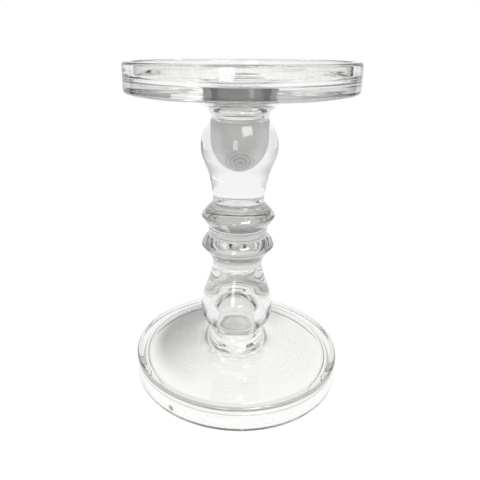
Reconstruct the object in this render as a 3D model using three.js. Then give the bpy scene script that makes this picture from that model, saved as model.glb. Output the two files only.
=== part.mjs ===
// Reversible glass candle holder: a dish and a tapered candle socket at each end of a turned stem.
// Millimetres, +Z up, with the origin at the middle of the rim that the holder stands on.
// The two ends are alike but for a longer bulb, a deeper socket and a shorter ring with a crease at the top.
// Heights along each half are measured from the waist out to the lip of its dish.
import * as THREE from 'three';

// Dish
const dishRadius = 63.5;
const wallThickness = 5.7;
const rimHeight = 10.0; // lip above the dish floor
const floorThickness = 6.4; // at the outer corner
const coneDrop = 4.6; // fall of the outside face from the corner to the collar
const coneSlope = 0.12; // rise over run where that face reaches the corner
const lipRounding = 1.7;
const cornerReach = 3.2; // outside corner under the wall, inwards
const cornerRise = 1.8; // and upwards
const cornerFullness = 0.45; // 0.55 would be a plain elliptical corner
const floorFillet = 4.4; // inside corner between the floor and the wall

// Collar, from the neck of the bulb to the seat under the dish
const collarHeight = 9.0;
const seatRadius = 26.0;
const flareSlope = 1 / 3; // rise over run where the collar meets the dish
const neckRadius = 16.1;

// Ring knops, from the waist to the foot of the bulb, each rounder above its crest than under it
const ringHeight = 17.8;
const ringRadius = 21.7;
const ringCrest = 6.0; // fullest part, from the waist seam
const topRingSweepUnder = 0.8; // length over which the crest stays upright
const topRingSweepOver = 1.4;
const topRingFootSweep = 2.0;
const topRingFootLean = 0.7; // run over rise of the flank where it meets the bulb in a crease
const baseRingSweepUnder = 1.2;
const baseRingSweepOver = 3.0;
const baseRingFootSweep = 5.8;

// Bulb, from its narrow foot over the belly and the shoulder to its neck
const bulbProud = 0.4; // how far the belly stands out past the rings
const bulbRadius = ringRadius + bulbProud;
const bellyHeight = 29.2; // fullest part above the foot
const topFootRun = 3.8; // how much further the upper bulb's foot reaches, at the cost of its ring
const topShoulderHeight = 15.5; // neck above the belly
const baseShoulderHeight = 14.2;
const footRadius = 15.1;
const topFootSweep = 18.0; // length over which the foot stays upright
const baseFootSweep = 9.4;
const bellySweepBelow = 9.8;
const topBellySweepAbove = 6.0;
const baseBellySweepAbove = 9.9;
const topNeckSweep = 6.0;
const baseNeckSweep = 5.0;
const neckLean = 0.6; // run over rise of the shoulder where it meets the neck in a crease

// Waist spool
const spoolHeight = 6.4;
const spoolEndRadius = 17.7;
const spoolHollow = 0.3; // how far the waist draws in

// Candle socket, tapered so that a 22 mm candle wedges above its round end
const mouthRadius = 14.0; // at the dish floor
const mouthRounding = 1.2;
const socketRadius = 11.2; // where the round end starts
const topSocketDepth = 46.7; // dish floor to the tip
const baseSocketDepth = 43.1;
const roundEndHeight = 12.4;
const roundEndSweep = 6.8; // length over which the round end stays upright
const tipFlat = 4.6; // reach of the level stretch at the tip

// Fineness of the curved faces
const facets = 40;
const bulbSteps = 7;
const curveSteps = 5;
const arcSteps = 4;

// Heights that both halves share
const ringSeam = spoolHeight / 2;
const crestAt = ringSeam + ringCrest;
const bellyAt = ringSeam + ringHeight + bellyHeight;

// Heights that follow from one end's own foot, shoulder and socket
function stations(footRun, shoulderHeight, socketDepth) {
  const bulbSeam = ringSeam + ringHeight - footRun;
  const collarSeam = bellyAt + shoulderHeight;
  const dishSeam = collarSeam + collarHeight;
  const cornerAt = dishSeam + coneDrop;
  const floorAt = cornerAt + floorThickness;
  const lipAt = floorAt + rimHeight;
  const tipAt = floorAt - socketDepth;
  const roundEndAt = tipAt + roundEndHeight;
  return { bulbSeam, collarSeam, dishSeam, cornerAt, floorAt, lipAt, tipAt, roundEndAt };
}

const topEnd = stations(topFootRun, topShoulderHeight, topSocketDepth);
const baseEnd = stations(0, baseShoulderHeight, baseSocketDepth);

const point = (r, z) => new THREE.Vector2(r, z);

// Points of a quarter round, by its centre and its angles in degrees
function quarter(r, z, radius, from, to) {
  const clockwise = to < from;
  const a0 = THREE.MathUtils.degToRad(from);
  const a1 = THREE.MathUtils.degToRad(to);
  return new THREE.EllipseCurve(r, z, radius, radius, a0, a1, clockwise).getPoints(arcSteps);
}

// S-shaped flank that leaves upright, and arrives upright or with a lean
function flank(low, lowSweep, high, highSweep, steps, lean = 0) {
  const leave = point(low.x, low.y + lowSweep);
  const arrive = point(high.x + lean * highSweep, high.y - highSweep);
  return new THREE.CubicBezierCurve(low, leave, arrive, high).getPoints(steps);
}

function bend(from, knee, to) {
  return new THREE.QuadraticBezierCurve(from, knee, to).getPoints(curveSteps);
}

// Radius of an end's tapered socket at a height between its round end and the dish floor
function boreRadius(end, z) {
  const share = (z - end.roundEndAt) / (end.floorAt - end.roundEndAt);
  return THREE.MathUtils.lerp(socketRadius, mouthRadius, share);
}

// Joins stretches of an outline and drops the points that they share
function outline(...stretches) {
  const points = [];
  for (const next of stretches.flat()) {
    const last = points.at(-1);
    if (!last || last.distanceTo(next) > 1e-6) points.push(next);
  }
  return points;
}

function closed(points) {
  return [...points, points[0].clone()];
}

function dishOutline(end) {
  const { dishSeam, cornerAt, floorAt, lipAt } = end;
  const seat = point(seatRadius, dishSeam);
  const cornerStart = point(dishRadius - cornerReach, cornerAt);
  const cornerEnd = point(dishRadius, cornerAt + cornerRise);
  const coneRun = cornerStart.x - seatRadius;
  const kneeRun = (coneDrop - coneSlope * coneRun) / (flareSlope - coneSlope);
  const knee = point(seatRadius + kneeRun, dishSeam + flareSlope * kneeRun);
  const cornerLead = cornerFullness * cornerReach;
  const corner = new THREE.CubicBezierCurve(
    cornerStart,
    point(cornerStart.x + cornerLead, cornerAt + coneSlope * cornerLead),
    point(dishRadius, cornerEnd.y - cornerFullness * cornerRise),
    cornerEnd,
  );
  const innerRadius = dishRadius - wallThickness;
  const mouthCentre = mouthRadius + mouthRounding;
  return closed(outline(
    point(boreRadius(end, dishSeam), dishSeam),
    bend(seat, knee, cornerStart),
    corner.getPoints(curveSteps),
    quarter(dishRadius - lipRounding, lipAt - lipRounding, lipRounding, 0, 90),
    quarter(innerRadius + lipRounding, lipAt - lipRounding, lipRounding, 90, 180),
    quarter(innerRadius - floorFillet, floorAt + floorFillet, floorFillet, 0, -90),
    quarter(mouthCentre, floorAt - mouthRounding, mouthRounding, 90, 180),
  ));
}

function collarOutline(end) {
  const { collarSeam, dishSeam } = end;
  const neck = point(neckRadius, collarSeam);
  const knee = point(neckRadius, dishSeam - flareSlope * (seatRadius - neckRadius));
  const seat = point(seatRadius, dishSeam);
  return closed(outline(
    point(boreRadius(end, collarSeam), collarSeam),
    bend(neck, knee, seat),
    point(boreRadius(end, dishSeam), dishSeam),
  ));
}

function bulbOutline(end, footSweep, sweepAbove, neckSweep) {
  const { bulbSeam, collarSeam, tipAt, roundEndAt } = end;
  const foot = point(footRadius, bulbSeam);
  const belly = point(bulbRadius, bellyAt);
  const neck = point(neckRadius, collarSeam);
  const roundEnd = new THREE.CubicBezierCurve(
    point(socketRadius, roundEndAt),
    point(socketRadius, roundEndAt - roundEndSweep),
    point(tipFlat, tipAt),
    point(0, tipAt),
  );
  return outline(
    point(0, bulbSeam),
    flank(foot, footSweep, belly, bellySweepBelow, bulbSteps),
    flank(belly, sweepAbove, neck, neckSweep, bulbSteps, neckLean),
    point(boreRadius(end, collarSeam), collarSeam),
    roundEnd.getPoints(bulbSteps),
  );
}

function ringOutline(end, waistSweep, footSideSweep, footSweep, footLean = 0) {
  const { bulbSeam } = end;
  const seam = point(spoolEndRadius, ringSeam);
  const crest = point(ringRadius, crestAt);
  const foot = point(footRadius, bulbSeam);
  return outline(
    point(0, ringSeam),
    bend(seam, point(ringRadius, crestAt - waistSweep), crest),
    flank(crest, footSideSweep, foot, footSweep, bulbSteps, footLean),
    point(0, bulbSeam),
  );
}

function spoolOutline() {
  const knee = point(spoolEndRadius - 2 * spoolHollow, 0);
  return outline(
    point(0, -ringSeam),
    bend(point(spoolEndRadius, -ringSeam), knee, point(spoolEndRadius, ringSeam)),
    point(0, ringSeam),
  );
}

// Clear glass with a faint grey-green cast, a shade deeper where it is thick
function clearGlass(color) {
  return new THREE.MeshStandardMaterial({
    color,
    roughness: 0.03,
    metalness: 0,
    transparent: true,
    opacity: 0.35,
  });
}

// Turns an outline about the stem's axis
function turned(name, points, color) {
  const geometry = new THREE.LatheGeometry(points, facets);
  geometry.rotateX(Math.PI / 2);
  const mesh = new THREE.Mesh(geometry, clearGlass(color));
  mesh.name = name;
  return mesh;
}

// The upper half stands on the waist, and the lower half hangs from it upside down
const waistAt = baseEnd.lipAt;
const raised = (points) => points.map((p) => point(p.x, waistAt + p.y));
const hung = (points) => points.map((p) => point(p.x, waistAt - p.y)).reverse();

const thinGlass = 0xeef2f0;
const thickGlass = 0xe4eae7;

const holder = new THREE.Group();
holder.name = 'glass_candle_holder';
const upperBulb = bulbOutline(topEnd, topFootSweep, topBellySweepAbove, topNeckSweep);
const lowerBulb = bulbOutline(baseEnd, baseFootSweep, baseBellySweepAbove, baseNeckSweep);
const upperRing = ringOutline(topEnd, topRingSweepUnder, topRingSweepOver, topRingFootSweep, topRingFootLean);
const lowerRing = ringOutline(baseEnd, baseRingSweepOver, baseRingSweepUnder, baseRingFootSweep);
holder.add(
  turned('top_dish', raised(dishOutline(topEnd)), thinGlass),
  turned('top_collar', raised(collarOutline(topEnd)), thickGlass),
  turned('upper_bulb', raised(upperBulb), thickGlass),
  turned('upper_ring', raised(upperRing), thickGlass),
  turned('waist_spool', raised(spoolOutline()), thickGlass),
  turned('lower_ring', hung(lowerRing), thickGlass),
  turned('lower_bulb', hung(lowerBulb), thickGlass),
  turned('base_collar', hung(collarOutline(baseEnd)), thickGlass),
  turned('base_dish', hung(dishOutline(baseEnd)), thinGlass),
);

export default holder;
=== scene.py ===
import math
import bpy
from mathutils import Euler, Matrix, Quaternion, Vector


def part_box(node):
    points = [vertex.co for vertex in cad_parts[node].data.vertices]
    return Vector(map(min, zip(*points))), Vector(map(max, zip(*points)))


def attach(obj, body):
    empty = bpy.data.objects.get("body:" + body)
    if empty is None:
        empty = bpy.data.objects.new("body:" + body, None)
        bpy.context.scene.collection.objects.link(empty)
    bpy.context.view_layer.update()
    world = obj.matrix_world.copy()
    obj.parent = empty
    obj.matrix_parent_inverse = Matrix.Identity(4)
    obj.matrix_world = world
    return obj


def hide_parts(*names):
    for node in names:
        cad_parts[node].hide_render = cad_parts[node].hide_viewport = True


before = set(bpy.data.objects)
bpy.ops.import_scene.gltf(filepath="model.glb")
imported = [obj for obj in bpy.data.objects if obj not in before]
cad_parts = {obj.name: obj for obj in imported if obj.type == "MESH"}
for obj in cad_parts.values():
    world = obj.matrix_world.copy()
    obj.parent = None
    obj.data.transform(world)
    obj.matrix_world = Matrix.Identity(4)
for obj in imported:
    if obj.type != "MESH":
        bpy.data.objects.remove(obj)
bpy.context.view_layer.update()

print("frame loaded:", len(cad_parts), "nodes")


# Camera

pictureSize = 480  # pixels along each side of the picture

cameraSetup = {
    "place": (-0.0142, -0.2746, 0.1962),
    "pitch": 19.1,  # degrees below level
    "roll": 0.14,
    "lens": 36.55,
    "sensor": 36.0,
    "axisAt": (214.3, 217.6),  # pixel that the lens axis passes through
    "nearest": 0.005,
}


def placeCamera():
    bpy.ops.object.camera_add(location=cameraSetup["place"])
    camera = bpy.context.object
    camera.name = "camera"
    tilt = Euler((math.radians(90 - cameraSetup["pitch"]), 0, 0)).to_quaternion()
    camera.rotation_mode = "QUATERNION"
    camera.rotation_quaternion = tilt @ Quaternion((0, 0, 1), math.radians(cameraSetup["roll"]))
    camera.data.sensor_width = cameraSetup["sensor"]
    camera.data.lens = cameraSetup["lens"]
    camera.data.shift_x = 0.5 - cameraSetup["axisAt"][0] / pictureSize
    camera.data.shift_y = cameraSetup["axisAt"][1] / pictureSize - 0.5
    camera.data.clip_start = cameraSetup["nearest"]
    bpy.context.scene.camera = camera


placeCamera()
print("camera placed")


# Nodes

def addNode(tree, kind, **settings):
    node = tree.nodes.new(kind)
    for key, value in settings.items():
        setattr(node, key, value)
    return node


# Links an input to another node's output, or gives it a plain value
def feed(tree, slot, value):
    if isinstance(value, bpy.types.NodeSocket):
        tree.links.new(value, slot)
    else:
        slot.default_value = value


def calculate(tree, operation, first, second):
    node = addNode(tree, "ShaderNodeMath", operation=operation)
    feed(tree, node.inputs[0], first)
    feed(tree, node.inputs[1], second)
    return node.outputs[0]


# One step on vectors, which puts out a Vector or a Value
def vectorStep(tree, operation, first, second=(0, 0, 0)):
    node = addNode(tree, "ShaderNodeVectorMath", operation=operation)
    feed(tree, node.inputs[0], first)
    feed(tree, node.inputs[1], second)
    return node.outputs


def reachFromAxis(tree, place):
    flat = vectorStep(tree, "MULTIPLY", place, (1, 1, 0))["Vector"]
    return vectorStep(tree, "LENGTH", flat)["Value"]


def noiseAt(tree, place, scale, detail):
    noise = addNode(tree, "ShaderNodeTexNoise")
    feed(tree, noise.inputs["Vector"], place)
    feed(tree, noise.inputs["Scale"], scale)
    feed(tree, noise.inputs["Detail"], detail)
    return noise.outputs["Fac"]


# Smooth change between two levels while a value crosses a span
def rescale(tree, value, span, levels=(0.0, 1.0)):
    node = addNode(tree, "ShaderNodeMapRange", interpolation_type="SMOOTHSTEP")
    tree.links.new(value, node.inputs["Value"])
    for label, limit in zip(("From Min", "From Max", "To Min", "To Max"), (*span, *levels)):
        feed(tree, node.inputs[label], limit)
    return node.outputs["Result"]


def mixColours(tree, share, first, second, blend="MIX"):
    node = addNode(tree, "ShaderNodeMix", data_type="RGBA", blend_type=blend)
    tree.links.new(share, node.inputs["Factor"])
    feed(tree, node.inputs["A"], first)
    feed(tree, node.inputs["B"], second)
    return node.outputs["Result"]


# Node groups shared by the glass materials

def newGroup(name, inputs, outputs):
    group = bpy.data.node_groups.new(name, "ShaderNodeTree")
    group.interface.new_socket("Place", in_out="INPUT", socket_type="NodeSocketVector")
    for label, kind in inputs:
        group.interface.new_socket(label, in_out="INPUT", socket_type=kind)
    for label in outputs:
        group.interface.new_socket(label, in_out="OUTPUT", socket_type="NodeSocketFloat")
    start = group.nodes.new("NodeGroupInput")
    end = group.nodes.new("NodeGroupOutput")
    return group, start.outputs, end.inputs


def floatInputs(*labels):
    return [(label, "NodeSocketFloat") for label in labels]


# Places a group in a material, with a look's own values for its inputs
def placeGroup(tree, group, place, look):
    node = addNode(tree, "ShaderNodeGroup", node_tree=group)
    for slot in node.inputs:
        feed(tree, slot, place if slot.name == "Place" else look[slot.name.lower()])
    return node.outputs


# Scale and detail of each kind of wave, and how much it is squeezed in height
hotWork = {
    "Wave": (55.0, 1.0, 1),
    "Ripple": (260.0, 2.0, 1),
    "Streak": (16.0, 0.5, 26),
}


# Slow waves left by hot working, with a finer ripple and level streaks over them
def wavesGroup():
    group, given, result = newGroup("hot_worked_waves", floatInputs(*hotWork), ["Height"])
    height = 0.0
    for label, (scale, detail, squeeze) in hotWork.items():
        place = vectorStep(group, "MULTIPLY", given["Place"], (1, 1, squeeze))["Vector"]
        share = calculate(group, "MULTIPLY", noiseAt(group, place, scale, detail), given[label])
        height = calculate(group, "ADD", share, height)
    group.links.new(height, result["Height"])
    return group


fingerMarks = {
    "patchScale": 70.0,
    "patchDetail": 4.0,
    "patchSpan": (0.55, 0.75),
    "speckScale": 420.0,
    "speckSpan": (0.10, 0.22),
    "spreadScale": 45.0,
    "spreadDetail": 2.0,
    "spreadSpan": (0.52, 0.66),
}


# Finger marks and wiped dust, as patches of haze and scattered specks
def smudgeGroup():
    group, given, result = newGroup("smudges", floatInputs("Haze", "Specks"), ["Roughness", "Speck"])
    marks = fingerMarks
    patches = noiseAt(group, given["Place"], marks["patchScale"], marks["patchDetail"])
    haze = calculate(group, "MULTIPLY", rescale(group, patches, marks["patchSpan"]), given["Haze"])
    cells = addNode(group, "ShaderNodeTexVoronoi")
    cells.inputs["Scale"].default_value = marks["speckScale"]
    group.links.new(given["Place"], cells.inputs["Vector"])
    spots = rescale(group, cells.outputs["Distance"], marks["speckSpan"], (1.0, 0.0))
    clouds = noiseAt(group, given["Place"], marks["spreadScale"], marks["spreadDetail"])
    scattered = calculate(group, "MULTIPLY", spots, rescale(group, clouds, marks["spreadSpan"]))
    group.links.new(haze, result["Roughness"])
    group.links.new(calculate(group, "MULTIPLY", scattered, given["Specks"]), result["Speck"])
    return group


# Mask of a level band round the axis, between two heights and beyond a radius
def bandGroup():
    group, given, result = newGroup("edge_band", floatInputs("Low", "High", "Beyond", "Blur"), ["Share"])
    split = addNode(group, "ShaderNodeSeparateXYZ")
    group.links.new(given["Place"], split.inputs[0])
    height = split.outputs["Z"]
    share = 1.0
    for first, second in (
        (height, given["Low"]),
        (given["High"], height),
        (reachFromAxis(group, given["Place"]), given["Beyond"]),
    ):
        past = calculate(group, "DIVIDE", calculate(group, "SUBTRACT", first, second), given["Blur"])
        share = calculate(group, "MULTIPLY", rescale(group, past, (0.0, 1.0)), share)
    group.links.new(share, result["Share"])
    return group


smallMarks = {"detail": 3.0, "span": (0.54, 0.62)}


# Mask of small scattered marks
def marksGroup():
    group, given, result = newGroup("scattered_marks", floatInputs("Scale"), ["Share"])
    noise = noiseAt(group, given["Place"], given["Scale"], smallMarks["detail"])
    group.links.new(rescale(group, noise, smallMarks["span"]), result["Share"])
    return group


ringContrast = {"span": (0.30, 0.70), "levels": (0.25, 1.0)}


# Mask of uneven rings round one spot, where a tool turned in the soft glass or polished it
def toolRingsGroup():
    inputs = [("Middle", "NodeSocketVector")] + floatInputs("Scale", "Twist", "Detail", "Near", "Far")
    group, given, result = newGroup("tool_rings", inputs, ["Share"])
    away = vectorStep(group, "SUBTRACT", given["Place"], given["Middle"])["Vector"]
    wave = addNode(group, "ShaderNodeTexWave", wave_type="RINGS", rings_direction="SPHERICAL")
    group.links.new(away, wave.inputs["Vector"])
    group.links.new(given["Scale"], wave.inputs["Scale"])
    group.links.new(given["Twist"], wave.inputs["Distortion"])
    group.links.new(given["Detail"], wave.inputs["Detail Scale"])
    rings = rescale(group, wave.outputs["Fac"], ringContrast["span"], ringContrast["levels"])
    reach = vectorStep(group, "LENGTH", away)["Value"]
    fade = rescale(group, reach, (given["Near"], given["Far"]), (1.0, 0.0))
    group.links.new(calculate(group, "MULTIPLY", rings, fade), result["Share"])
    return group


waves = wavesGroup()
smudges = smudgeGroup()
bands = bandGroup()
scatteredMarks = marksGroup()
toolRings = toolRingsGroup()
print("node groups built")


# Glass

glassIor = 1.5


# Painted shadow that lies thicker towards one side, from where it starts to where it is full
def addPaintedShadow(tree, place, colour, paintedShadow):
    side = vectorStep(tree, "DOT_PRODUCT", place, paintedShadow["towards"])["Value"]
    noise = noiseAt(tree, place, paintedShadow["patchScale"], paintedShadow["patchDetail"])
    patchy = calculate(tree, "MULTIPLY", noise, paintedShadow["patchy"])
    shadedSide = rescale(tree, calculate(tree, "ADD", side, patchy), paintedShadow["span"])
    inside = rescale(tree, reachFromAxis(tree, place), paintedShadow["edge"], (1.0, 0.0))
    share = calculate(tree, "MULTIPLY", shadedSide, inside)
    return mixColours(tree, share, colour, paintedShadow["colour"])


# A level line, painted shade where it is dark and residue where it is pale, drawn all round or only in
# small marks
def addShadeAndResidueLine(tree, place, colour, line):
    share = placeGroup(tree, bands, place, line)["Share"]
    if line["marks"]:
        marks = placeGroup(tree, scatteredMarks, place, {"scale": line["marks"]})["Share"]
        share = calculate(tree, "MULTIPLY", share, marks)
    return mixColours(tree, share, colour, line["colour"])


def addRings(tree, place, colour, rings):
    share = placeGroup(tree, toolRings, place, rings)["Share"]
    return mixColours(tree, share, colour, rings["colour"], "MULTIPLY")


# One small stain, by its middle and how far it reaches
def addStain(tree, place, colour, stain):
    away = vectorStep(tree, "DISTANCE", place, stain["at"])["Value"]
    share = rescale(tree, away, stain["reach"], (1.0, 0.0))
    return mixColours(tree, share, colour, stain["colour"])


# Clear glass with its tint, waviness, haze and specks, and with the marks that the look has, which may be
# painted shadow, lines of painted shade and residue, rings and a stain
def glassMaterial(look):
    material = bpy.data.materials.new(look["name"])
    material.use_nodes = True
    tree = material.node_tree
    shader = tree.nodes["Principled BSDF"]
    place = addNode(tree, "ShaderNodeTexCoord").outputs["Object"]
    smudge = placeGroup(tree, smudges, place, look)
    bump = addNode(tree, "ShaderNodeBump")
    bump.inputs["Distance"].default_value = look["depth"]
    tree.links.new(placeGroup(tree, waves, place, look)["Height"], bump.inputs["Height"])
    tree.links.new(bump.outputs["Normal"], shader.inputs["Normal"])
    colour = mixColours(tree, smudge["Speck"], look["tint"], look["dust"])
    if look["paintedShadow"]:
        colour = addPaintedShadow(tree, place, colour, look["paintedShadow"])
    for line in look["lines"]:
        colour = addShadeAndResidueLine(tree, place, colour, line)
    if look["rings"]:
        colour = addRings(tree, place, colour, look["rings"])
    if look["stain"]:
        colour = addStain(tree, place, colour, look["stain"])
    tree.links.new(colour, shader.inputs["Base Color"])
    rough = calculate(tree, "ADD", smudge["Roughness"], look["roughness"])
    tree.links.new(rough, shader.inputs["Roughness"])
    shader.inputs["IOR"].default_value = glassIor
    shader.inputs["Transmission Weight"].default_value = look["clearness"]
    shader.inputs["Specular IOR Level"].default_value = look["sheen"]
    return material


# Where two gathers were joined hot there is no surface left, so the seam faces don't show
def seamMaterial():
    material = bpy.data.materials.new("joined_seam")
    material.use_nodes = True
    shader = material.node_tree.nodes["Principled BSDF"]
    shader.inputs["Alpha"].default_value = 0.0
    return material


# The olive and the greys down to faintGrey are painted shade for the level lines along edges and creases;
# paleGrey is residue
shadeOlive = (0.36, 0.37, 0.30, 1)
shadeDarkGrey = (0.26, 0.265, 0.255, 1)
grey = (0.45, 0.46, 0.44, 1)
shadeMidGrey = (0.60, 0.61, 0.58, 1)
faintGrey = (0.76, 0.76, 0.73, 1)
paleGrey = (0.88, 0.88, 0.86, 1)

stemRadius = 0.0140  # lines on the stem lie outside this


# Line between two heights and beyond a radius, with the scale of its marks where it is broken up; the
# dark ones are painted shade, the pale ones residue
def levelShadeAndResidueLine(low, high, colour, beyond=stemRadius, blur=0.0003, marks=None):
    return {"low": low, "high": high, "colour": colour, "beyond": beyond, "blur": blur, "marks": marks}


dishLook = {
    "name": "dish_glass",
    "tint": (0.985, 0.99, 0.982, 1),
    "dust": (0.72, 0.71, 0.68, 1),
    "wave": 0.1,
    "ripple": 0.03,
    "streak": 0.6,
    "depth": 0.00025,
    "haze": 0.04,
    "specks": 0.5,
    "roughness": 0.0,
    "clearness": 1.0,
    "sheen": 0.5,
    "paintedShadow": None,
    "stain": None,
    "rings": None,
    # Painted shade along the lip and the lower edge, with a pale band of residue marks between
    "lines": [
        levelShadeAndResidueLine(0.1886, 0.1905, shadeMidGrey, beyond=0.0560, blur=0.0006),
        levelShadeAndResidueLine(0.1815, 0.1890, paleGrey, beyond=0.0570, blur=0.0010, marks=900.0),
        levelShadeAndResidueLine(0.1735, 0.1768, shadeMidGrey, beyond=0.0612, blur=0.0006),
    ],
}

# The lower dish has faint polishing rings, and a painted shadow on the side away from the light, where
# the stem shades the floor under the plate
baseLook = dict(
    dishLook,
    name="base_glass",
    tint=(0.98, 0.984, 0.97, 1),
    stain={
        "at": (-0.0383, -0.0507, 0.0053),
        "reach": (0.0012, 0.0023),
        "colour": (0.24, 0.18, 0.11, 1),
    },
    paintedShadow={
        "towards": (-0.64, 0.77, 0),
        "span": (-0.004, 0.066),
        "edge": (0.045, 0.056),
        "patchy": 0.035,
        "patchScale": 40.0,
        "patchDetail": 4.0,
        "colour": (0.42, 0.43, 0.42, 1),
    },
    rings={
        "middle": (0.0, 0.0, 0.0150),
        "scale": 110.0,
        "twist": 22.0,
        "detail": 0.45,
        "near": 0.0440,
        "far": 0.0560,
        "colour": (0.94, 0.94, 0.93, 1),
    },
    # Painted shade along the rounded upper edge, olive like the glass seen through its thickness, with
    # pale residue marks down the wall
    lines=[
        levelShadeAndResidueLine(0.0150, 0.0200, faintGrey, beyond=0.0597, blur=0.0006),
        levelShadeAndResidueLine(0.0138, 0.0200, shadeOlive, beyond=0.0622, blur=0.0004),
        levelShadeAndResidueLine(0.0108, 0.0120, grey, beyond=0.0612, blur=0.0004),
        levelShadeAndResidueLine(0.0010, 0.0105, paleGrey, beyond=0.0618, blur=0.0010, marks=520.0),
    ],
)

stemLook = {
    "name": "stem_glass",
    "tint": (0.905, 0.91, 0.90, 1),
    "dust": (0.80, 0.80, 0.78, 1),
    "wave": 1.0,
    "ripple": 0.1,
    "streak": 0.06,
    "depth": 0.0002,
    "haze": 0.02,
    "specks": 0.2,
    "roughness": 0.0,
    "clearness": 1.0,
    "sheen": 0.5,
    "paintedShadow": None,
    "stain": None,
    "rings": None,
    # Painted shade along the creases and joins of the stem
    "lines": [
        levelShadeAndResidueLine(0.1600, 0.1610, grey),
        levelShadeAndResidueLine(0.1108, 0.1130, shadeDarkGrey, blur=0.0005),
        levelShadeAndResidueLine(0.0992, 0.1001, shadeDarkGrey),
        levelShadeAndResidueLine(0.0960, 0.0967, shadeDarkGrey),
        levelShadeAndResidueLine(0.0942, 0.0949, grey),
        levelShadeAndResidueLine(0.0922, 0.0930, shadeDarkGrey),
        levelShadeAndResidueLine(0.0806, 0.0815, shadeDarkGrey),
        levelShadeAndResidueLine(0.0780, 0.0788, grey),
    ],
}

# The rings and the waist get a grey tint, which is painted shade for the darker room seen through them
ringShadeLook = dict(stemLook, name="ring_glass", tint=(0.52, 0.53, 0.515, 1))
waistShadeLook = dict(stemLook, name="waist_glass", tint=(0.74, 0.75, 0.735, 1))

# Grey film inside the upper socket, painted shade for the dark room seen through it, with a tool's rings
# at the front of its round end
filmShadeLook = dict(
    stemLook,
    name="socket_painted_shade",
    tint=(0.95, 0.955, 0.945, 1),
    dust=(0.78, 0.78, 0.76, 1),
    ripple=0.3,
    haze=0.05,
    roughness=0.02,
    clearness=0.28,
    sheen=0.0,
    rings={
        "middle": (0.0, -0.0083, 0.1380),
        "scale": 170.0,
        "twist": 2.4,
        "detail": 2.0,
        "near": 0.0034,
        "far": 0.0095,
        "colour": (0.66, 0.662, 0.657, 1),
    },
)

# Thin dust inside the lower socket, and painted shade at the mouth of the upper one, for the dark room
# seen through it
dustLook = dict(filmShadeLook, name="socket_dust", tint=(0.97, 0.975, 0.965, 1), clearness=0.9, rings=None)
mouthShadeLook = dict(filmShadeLook, name="mouth_painted_shade", tint=(0.31, 0.315, 0.305, 1), clearness=0.38, rings=None)

dishGlass = glassMaterial(dishLook)
baseGlass = glassMaterial(baseLook)
stemGlass = glassMaterial(stemLook)
ringShadedGlass = glassMaterial(ringShadeLook)
waistShadedGlass = glassMaterial(waistShadeLook)
socketShadeFilm = glassMaterial(filmShadeLook)
socketDust = glassMaterial(dustLook)
mouthShade = glassMaterial(mouthShadeLook)
joinedSeam = seamMaterial()
print("glass mixed")


# Turning

turning = {
    "steps": 192,
    "smoothAngle": 25,  # degrees
    "seedSize": 0.001,
    "sameSpot": 1e-7,
    "mergeReach": 1e-6,
    "seamReach": 1e-6,
    "levelNormal": 0.9999,
    "boreReach": 0.0142,  # faces of the socket lie inside this radius
}


# Points along a Bezier stretch of an outline
def sweep(knots, steps):
    line = []
    for step in range(steps + 1):
        level = [Vector(knot) for knot in knots]
        while len(level) > 1:
            level = [a.lerp(b, step / steps) for a, b in zip(level, level[1:])]
        line.append(level[0])
    return line


# Points of a round edge, by its centre and its angles in degrees
def roundEdge(centre, radius, start, end, steps):
    line = []
    for step in range(steps + 1):
        angle = math.radians(start + (end - start) * step / steps)
        line.append(Vector(centre) + radius * Vector((math.cos(angle), math.sin(angle))))
    return line


# S-shaped flank that leaves upright, and arrives upright or with a lean
def flank(low, lowSweep, high, highSweep, steps, lean=0):
    leave = (low[0], low[1] + lowSweep)
    arrive = (high[0] + lean * highSweep, high[1] - highSweep)
    return sweep([low, leave, arrive, high], steps)


# Joins stretches of an outline and drops the points that they share
def joinStretches(*stretches):
    points = []
    for stretch in stretches:
        for spot in stretch:
            spot = Vector(spot)
            if not points or (spot - points[-1]).length > turning["sameSpot"]:
                points.append(spot)
    return points


# A lining covers the bore between two heights, on one side or all round
def isLined(lining, middle):
    if not lining or middle.xy.length >= turning["boreReach"]:
        return False
    if not lining["low"] < middle.z < lining["high"]:
        return False
    return not lining["side"] or middle.dot(Vector(lining["side"])) > 0


# Draws an outline from one point, spins it about the stem's axis and closes it
def turnPiece(name, node, outline, seams, glass, lining=None):
    bpy.ops.object.select_all(action="DESELECT")
    bpy.ops.mesh.primitive_plane_add(size=turning["seedSize"], location=(0, 0, 0))
    piece = bpy.context.object
    piece.name = name
    bpy.ops.object.mode_set(mode="EDIT")
    bpy.ops.mesh.select_all(action="SELECT")
    bpy.ops.mesh.merge(type="CENTER")
    bpy.ops.transform.translate(value=(outline[0].x, 0, outline[0].y))
    for last, spot in zip(outline, outline[1:]):
        move = (spot.x - last.x, 0, spot.y - last.y)
        bpy.ops.mesh.extrude_region_move(TRANSFORM_OT_translate={"value": move})
    bpy.ops.mesh.select_all(action="SELECT")
    bpy.ops.mesh.spin(steps=turning["steps"], angle=math.tau, center=(0, 0, 0), axis=(0, 0, 1))
    bpy.ops.mesh.select_all(action="SELECT")
    bpy.ops.mesh.remove_doubles(threshold=turning["mergeReach"])
    bpy.ops.mesh.normals_make_consistent(inside=False)
    bpy.ops.object.mode_set(mode="OBJECT")
    bpy.ops.object.shade_smooth_by_angle(angle=math.radians(turning["smoothAngle"]))
    piece.data.materials.append(glass)
    piece.data.materials.append(joinedSeam)
    if lining:
        piece.data.materials.append(lining["finish"])
    for face in piece.data.polygons:
        level = abs(face.normal.z) > turning["levelNormal"]
        if level and any(abs(face.center.z - seam) < turning["seamReach"] for seam in seams):
            face.material_index = 1
        elif isLined(lining, face.center):
            face.material_index = 2
    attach(piece, "root")
    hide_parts(node)


# Heights out from the waist, read off the frame so that every seam lies on its solid's own face

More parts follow.
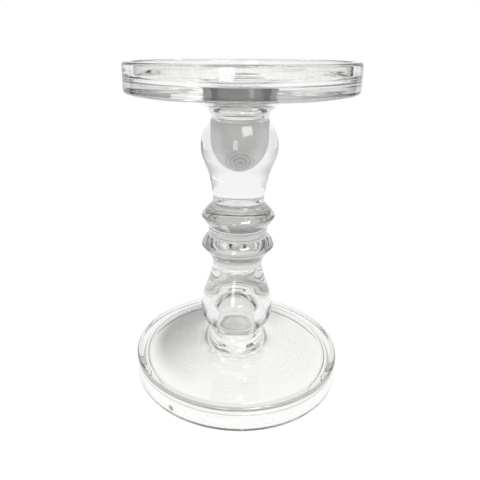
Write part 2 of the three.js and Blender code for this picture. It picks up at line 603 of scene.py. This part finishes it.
waistLow, waistHigh = (corner.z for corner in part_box("waist_spool"))
waistAt = (waistLow + waistHigh) / 2


def outward(node):
    low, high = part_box(node)
    near, far = sorted((abs(low.z - waistAt), abs(high.z - waistAt)))
    return near, far


def standing(points):
    return [Vector((spot.x, waistAt + spot.y)) for spot in points]


def hanging(points):
    return [Vector((spot.x, waistAt - spot.y)) for spot in points]


def above(heights):
    return [waistAt + height for height in heights]


def below(heights):
    return [waistAt - height for height in heights]


# Dishes

dish = {
    "radius": 0.0635,
    "wall": 0.0057,
    "rim": 0.0100,  # lip above the floor
    "coneDrop": 0.0046,
    "coneSlope": 0.12,
    "lipRounding": 0.0017,
    "cornerReach": 0.0032,
    "cornerRise": 0.0018,
    "cornerFullness": 0.45,
    "floorFillet": 0.0044,
    "seat": 0.0260,
    "flareSlope": 1 / 3,
    "mouthRounding": 0.0012,
    "cleanMouth": 0.0013,  # bare glass over the painted shade
    "cleanFoot": 0.0038,  # and under it
    "steps": {"cone": 28, "corner": 16, "lip": 10, "fillet": 12, "mouth": 8},
}

socket = {
    "mouth": 0.0140,
    "radius": 0.0112,
    "roundEnd": 0.0124,  # height over the tip where the taper reaches that radius
    "topBowl": 0.0142,  # height of the rounding at the end
    "baseBowl": 0.0124,
    "bowlSweep": 0.0068,
    "bowlSteps": 28,
    "tipFlat": 0.0046,
    "topDepth": 0.0467,
    "baseDepth": 0.0431,
    "cleanNeck": 0.0024,  # bare glass between the neck and the painted shade
}


# Heights of one end, worked out from its dish
def endOf(dishNode, depth, bowl):
    dishSeam, lip = outward(dishNode)
    floor = lip - dish["rim"]
    tip = floor - depth
    return {
        "dishSeam": dishSeam,
        "lip": lip,
        "floor": floor,
        "tip": tip,
        "roundEnd": tip + socket["roundEnd"],
        "bowl": bowl,
    }


topEnd = endOf("top_dish", socket["topDepth"], socket["topBowl"])
baseEnd = endOf("base_dish", socket["baseDepth"], socket["baseBowl"])


# Point on the tapered wall of an end's socket
def boreAt(end, height):
    share = (height - end["roundEnd"]) / (end["floor"] - end["roundEnd"])
    return (socket["radius"] + (socket["mouth"] - socket["radius"]) * share, height)


def dishOutline(end):
    seam, floor, lip = end["dishSeam"], end["floor"], end["lip"]
    radius, steps = dish["radius"], dish["steps"]
    corner = seam + dish["coneDrop"]
    reach, rise, full = dish["cornerReach"], dish["cornerRise"], dish["cornerFullness"]
    seat = (dish["seat"], seam)
    cornerStart = (radius - reach, corner)
    coneFall = dish["coneDrop"] - dish["coneSlope"] * (cornerStart[0] - dish["seat"])
    kneeRun = coneFall / (dish["flareSlope"] - dish["coneSlope"])
    knee = (dish["seat"] + kneeRun, seam + dish["flareSlope"] * kneeRun)
    cornerKnots = [
        cornerStart,
        (cornerStart[0] + full * reach, corner + dish["coneSlope"] * full * reach),
        (radius, corner + rise - full * rise),
        (radius, corner + rise),
    ]
    lipRound, fillet, mouthRound = dish["lipRounding"], dish["floorFillet"], dish["mouthRounding"]
    inner = radius - dish["wall"]
    mouthCentre = socket["mouth"] + mouthRound
    return joinStretches(
        [boreAt(end, seam)],
        sweep([seat, knee, cornerStart], steps["cone"]),
        sweep(cornerKnots, steps["corner"]),
        roundEdge((radius - lipRound, lip - lipRound), lipRound, 0, 90, steps["lip"]),
        roundEdge((inner + lipRound, lip - lipRound), lipRound, 90, 180, steps["lip"]),
        roundEdge((inner - fillet, floor + fillet), fillet, 0, -90, steps["fillet"]),
        roundEdge((mouthCentre, floor - mouthRound), mouthRound, 90, 180, steps["mouth"]),
        [boreAt(end, floor - dish["cleanMouth"])],
        [boreAt(end, seam + dish["cleanFoot"])],
        [boreAt(end, seam)],
    )


# Painted shade on the half of the dish's bore towards the camera
mouthShadeLining = {
    "finish": mouthShade,
    "low": waistAt + topEnd["dishSeam"] + dish["cleanFoot"],
    "high": waistAt + topEnd["floor"] - dish["cleanMouth"],
    "side": (0, -1, 0),
}
turnPiece("top_dish_glass", "top_dish", standing(dishOutline(topEnd)),
          above([topEnd["dishSeam"]]), dishGlass, mouthShadeLining)
turnPiece("base_dish_glass", "base_dish", hanging(dishOutline(baseEnd)),
          below([baseEnd["dishSeam"]]), baseGlass)
print("dishes turned")


# Collars

collar = {"neck": 0.0161, "steps": 24}


def collarOutline(end, node):
    low, high = outward(node)
    seat = dish["seat"]
    knee = (collar["neck"], high - dish["flareSlope"] * (seat - collar["neck"]))
    return joinStretches(
        [boreAt(end, low)],
        sweep([(collar["neck"], low), knee, (seat, high)], collar["steps"]),
        [boreAt(end, high)],
        [boreAt(end, low)],
    )


turnPiece("top_collar_glass", "top_collar", standing(collarOutline(topEnd, "top_collar")),
          above(outward("top_collar")), stemGlass)
turnPiece("base_collar_glass", "base_collar", hanging(collarOutline(baseEnd, "base_collar")),
          below(outward("base_collar")), baseGlass)
print("collars turned")


# Bulbs

bulb = {
    "radius": 0.0221,
    "foot": 0.0151,
    "sweepBelow": 0.0098,  # length over which the belly stays upright on the foot's side
    "neckLean": 0.6,  # run over rise of the shoulder where it meets the neck in a crease
    "top": {"shoulder": 0.0155, "footSweep": 0.0180, "sweepAbove": 0.0060, "neckSweep": 0.0060},
    "base": {"shoulder": 0.0142, "footSweep": 0.0094, "sweepAbove": 0.0099, "neckSweep": 0.0050},
    "footSteps": 44,
    "neckSteps": 30,
}


def bulbOutline(end, node, form):
    low, high = outward(node)
    foot = (bulb["foot"], low)
    belly = (bulb["radius"], high - form["shoulder"])
    neck = (collar["neck"], high)
    tip = end["tip"]
    bowlRadius, bowlTop = boreAt(end, tip + end["bowl"])
    bowlKnots = [
        (bowlRadius, bowlTop),
        (bowlRadius, bowlTop - socket["bowlSweep"]),
        (socket["tipFlat"], tip),
        (0, tip),
    ]
    return joinStretches(
        [(0, low)],
        flank(foot, form["footSweep"], belly, bulb["sweepBelow"], bulb["footSteps"]),
        flank(belly, form["sweepAbove"], neck, form["neckSweep"], bulb["neckSteps"], bulb["neckLean"]),
        [boreAt(end, high)],
        [boreAt(end, high - socket["cleanNeck"])],
        sweep(bowlKnots, socket["bowlSteps"]),
    )


upperFoot, upperNeck = outward("upper_bulb")
lowerFoot, lowerNeck = outward("lower_bulb")
upperSocketShade = {
    "finish": socketShadeFilm,
    "low": waistAt + upperFoot,
    "high": waistAt + upperNeck - socket["cleanNeck"],
    "side": None,
}
dust = {
    "finish": socketDust,
    "low": waistAt - lowerNeck + socket["cleanNeck"],
    "high": waistAt - lowerFoot,
    "side": None,
}
turnPiece("upper_bulb_glass", "upper_bulb", standing(bulbOutline(topEnd, "upper_bulb", bulb["top"])),
          above((upperFoot, upperNeck)), stemGlass, upperSocketShade)
turnPiece("lower_bulb_glass", "lower_bulb", hanging(bulbOutline(baseEnd, "lower_bulb", bulb["base"])),
          below((lowerFoot, lowerNeck)), stemGlass, dust)
print("bulbs turned")


# Ring knops and the waist between them

ring = {
    "radius": 0.0217,
    "crest": 0.0060,  # fullest part, out from the waist seam
    "upper": {"waistSweep": 0.0008, "bulbSweep": 0.0014, "footSweep": 0.0020, "footLean": 0.7},
    "lower": {"waistSweep": 0.0030, "bulbSweep": 0.0012, "footSweep": 0.0058, "footLean": 0.0},
    "waistSteps": 24,
    "bulbSteps": 32,
}

spool = {"end": 0.0177, "hollow": 0.0003, "lines": 4, "lineDepth": 0.00012, "lineSteps": 12}


def ringOutline(node, form):
    low, high = outward(node)
    crest = (ring["radius"], low + ring["crest"])
    knee = (ring["radius"], crest[1] - form["waistSweep"])
    foot = (bulb["foot"], high)
    return joinStretches(
        [(0, low)],
        sweep([(spool["end"], low), knee, crest], ring["waistSteps"]),
        flank(crest, form["bulbSweep"], foot, form["footSweep"], ring["bulbSteps"], form["footLean"]),
        [(0, high)],
    )


# The waist keeps the fine lines of the tool that drew it in
def spoolOutline():
    half = (waistHigh - waistLow) / 2
    knee = (spool["end"] - 2 * spool["hollow"], 0)
    steps = spool["lineSteps"] * spool["lines"]
    side = sweep([(spool["end"], -half), knee, (spool["end"], half)], steps)
    for spot in side:
        turn = math.pi * spool["lines"] * (spot.y + half) / (2 * half)
        spot.x -= spool["lineDepth"] * math.sin(turn) ** 2
    return joinStretches([(0, -half)], side, [(0, half)])


turnPiece("upper_ring_glass", "upper_ring", standing(ringOutline("upper_ring", ring["upper"])),
          above(outward("upper_ring")), ringShadedGlass)
turnPiece("lower_ring_glass", "lower_ring", hanging(ringOutline("lower_ring", ring["lower"])),
          below(outward("lower_ring")), ringShadedGlass)
turnPiece("waist_spool_glass", "waist_spool", standing(spoolOutline()),
          [waistLow, waistHigh], waistShadedGlass)
print("rings and waist turned")


# Studio

studioFloor = {
    "size": 8.0,
    "colour": (0.80, 0.80, 0.79, 1),
    "roughness": 0.6,
    "glow": 0.93,  # share of the floor that is plain white where it is seen
    "glowLevel": 1.05,
}

# Near and far end of each card, seen from above
sideCards = {
    "left_card": ((-0.15, -0.15), (-0.29, 0.17)),
    "right_card": ((0.15, -0.15), (0.33, 0.20)),
}

cardBoard = {"colour": (0.12, 0.12, 0.12, 1), "roughness": 0.8, "low": 0.09, "high": 0.36}

softBoxes = {
    "window_box": {
        "place": (-0.28, -1.05, 0.50),
        "target": (0, 0, 0.14),
        "size": (0.26, 0.84),
        "shape": "RECTANGLE",
        "power": 4.0,
        "mirrored": True,
        "seenThrough": False,
    },
    "ceiling_box": {
        "place": (0.36, -0.64, 1.15),
        "target": (0, 0, 0.1),
        "size": (0.56, 0.34),
        "shape": "RECTANGLE",
        "power": 9.1,
        "mirrored": True,
        "seenThrough": True,
    },
    "rear_box": {
        "place": (0.42, 1.22, 0.75),
        "target": (0, 0, 0.15),
        "size": (0.26, 0.56),
        "shape": "ELLIPSE",
        "power": 0.22,
        "mirrored": False,
        "seenThrough": True,
    },
}

# Light of the room by the sine of the height, and for its walls also by the way that they lie,
# from 0 behind the camera to 1 behind the holder
room = {
    "skirting": ((0.0, 1.0), (0.15, 1.0), (0.20, 0.0)),
    "skirtingFacing": ((0.0, 0.14), (0.40, 0.12), (0.55, 0.26), (0.68, 0.60), (0.83, 0.72), (0.935, 1.0)),
    "walls": ((0.0, 0.0), (0.15, 0.0), (0.20, 0.95), (0.30, 0.72), (0.48, 0.58), (0.65, 0.0)),
    "wallsFacing": ((0.0, 0.28), (0.30, 0.40), (0.55, 0.50), (0.68, 0.65), (0.83, 0.92), (0.935, 1.0)),
    "ceiling": ((0.0, 0.0), (0.50, 0.0), (0.68, 0.75), (0.78, 0.85), (0.88, 0.20), (1.0, 0.12)),
}

# Light has to pass many faces of glass
bounces = {
    "max_bounces": 40,
    "transmission_bounces": 40,
    "glossy_bounces": 16,
    "transparent_max_bounces": 48,
}


def plainMaterial(name, colour, roughness):
    material = bpy.data.materials.new(name)
    material.use_nodes = True
    shader = material.node_tree.nodes["Principled BSDF"]
    shader.inputs["Base Color"].default_value = colour
    shader.inputs["Roughness"].default_value = roughness
    return material


# Pale floor that shows plain white to the camera and in the glass
def layFloor():
    bpy.ops.object.select_all(action="DESELECT")
    bpy.ops.mesh.primitive_plane_add(size=studioFloor["size"], location=(0, 0, 0))
    floor = bpy.context.object
    floor.name = "studio_floor"
    material = plainMaterial("studio_floor", studioFloor["colour"], studioFloor["roughness"])
    tree = material.node_tree
    shader = tree.nodes["Principled BSDF"]
    shader.inputs["Specular IOR Level"].default_value = 0.0
    glow = addNode(tree, "ShaderNodeEmission")
    glow.inputs["Strength"].default_value = studioFloor["glowLevel"]
    path = addNode(tree, "ShaderNodeLightPath")
    seen = path.outputs["Is Camera Ray"]
    for ray in ("Is Glossy Ray", "Is Transmission Ray"):
        seen = calculate(tree, "MAXIMUM", seen, path.outputs[ray])
    mix = addNode(tree, "ShaderNodeMixShader")
    tree.links.new(calculate(tree, "MULTIPLY", seen, studioFloor["glow"]), mix.inputs[0])
    tree.links.new(shader.outputs[0], mix.inputs[1])
    tree.links.new(glow.outputs[0], mix.inputs[2])
    tree.links.new(mix.outputs[0], tree.nodes["Material Output"].inputs["Surface"])
    floor.data.materials.append(material)


# Dark cards along both sides, just out of the picture, that draw the edges of the glass
def standCard(name, start, end):
    run = Vector(end) - Vector(start)
    middle = Vector(start) + run / 2
    low, high = cardBoard["low"], cardBoard["high"]
    bpy.ops.object.select_all(action="DESELECT")
    bpy.ops.mesh.primitive_plane_add(size=1, location=(middle.x, middle.y, (low + high) / 2))
    card = bpy.context.object
    card.name = name
    card.rotation_euler = (math.radians(90), 0, math.atan2(run.y, run.x))
    card.scale = (run.length, high - low, 1)
    card.visible_camera = False
    card.visible_diffuse = False
    card.visible_shadow = False
    card.data.materials.append(plainMaterial(name, cardBoard["colour"], cardBoard["roughness"]))


def greyRamp(tree, value, levels):
    ramp = addNode(tree, "ShaderNodeValToRGB")
    stops = ramp.color_ramp.elements
    stops.remove(stops[1])
    for number, (position, level) in enumerate(levels):
        stop = stops.new(position) if number else stops[0]
        stop.position = position
        stop.color = (level, level, level, 1)
    tree.links.new(value, ramp.inputs[0])
    return ramp.outputs[0]


def makeRoom():
    world = bpy.data.worlds.new("studio")
    bpy.context.scene.world = world
    world.use_nodes = True
    tree = world.node_tree
    place = addNode(tree, "ShaderNodeTexCoord")
    split = addNode(tree, "ShaderNodeSeparateXYZ")
    tree.links.new(place.outputs["Generated"], split.inputs[0])
    turnedBack = calculate(tree, "ADD", calculate(tree, "MULTIPLY", split.outputs["Y"], 0.5), 0.5)
    light = greyRamp(tree, split.outputs["Z"], room["ceiling"])
    for wall in ("skirting", "walls"):
        level = greyRamp(tree, split.outputs["Z"], room[wall])
        facing = greyRamp(tree, turnedBack, room[wall + "Facing"])
        light = calculate(tree, "ADD", calculate(tree, "MULTIPLY", level, facing), light)
    tree.links.new(light, tree.nodes["Background"].inputs["Color"])


def hangSoftBox(name, box):
    bpy.ops.object.light_add(type="AREA", location=box["place"])
    lamp = bpy.context.object
    lamp.name = name
    lamp.data.shape = box["shape"]
    lamp.data.size, lamp.data.size_y = box["size"]
    lamp.data.energy = box["power"]
    lamp.rotation_mode = "QUATERNION"
    lamp.rotation_quaternion = (Vector(box["target"]) - Vector(box["place"])).to_track_quat("-Z", "Y")
    lamp.visible_camera = False
    lamp.visible_glossy = box["mirrored"]
    lamp.visible_transmission = box["seenThrough"]


layFloor()
makeRoom()
for name, (start, end) in sideCards.items():
    standCard(name, start, end)
for name, box in softBoxes.items():
    hangSoftBox(name, box)
for name, count in bounces.items():
    setattr(bpy.context.scene.cycles, name, count)
bpy.context.scene.view_settings.view_transform = "Standard"
print("studio set")
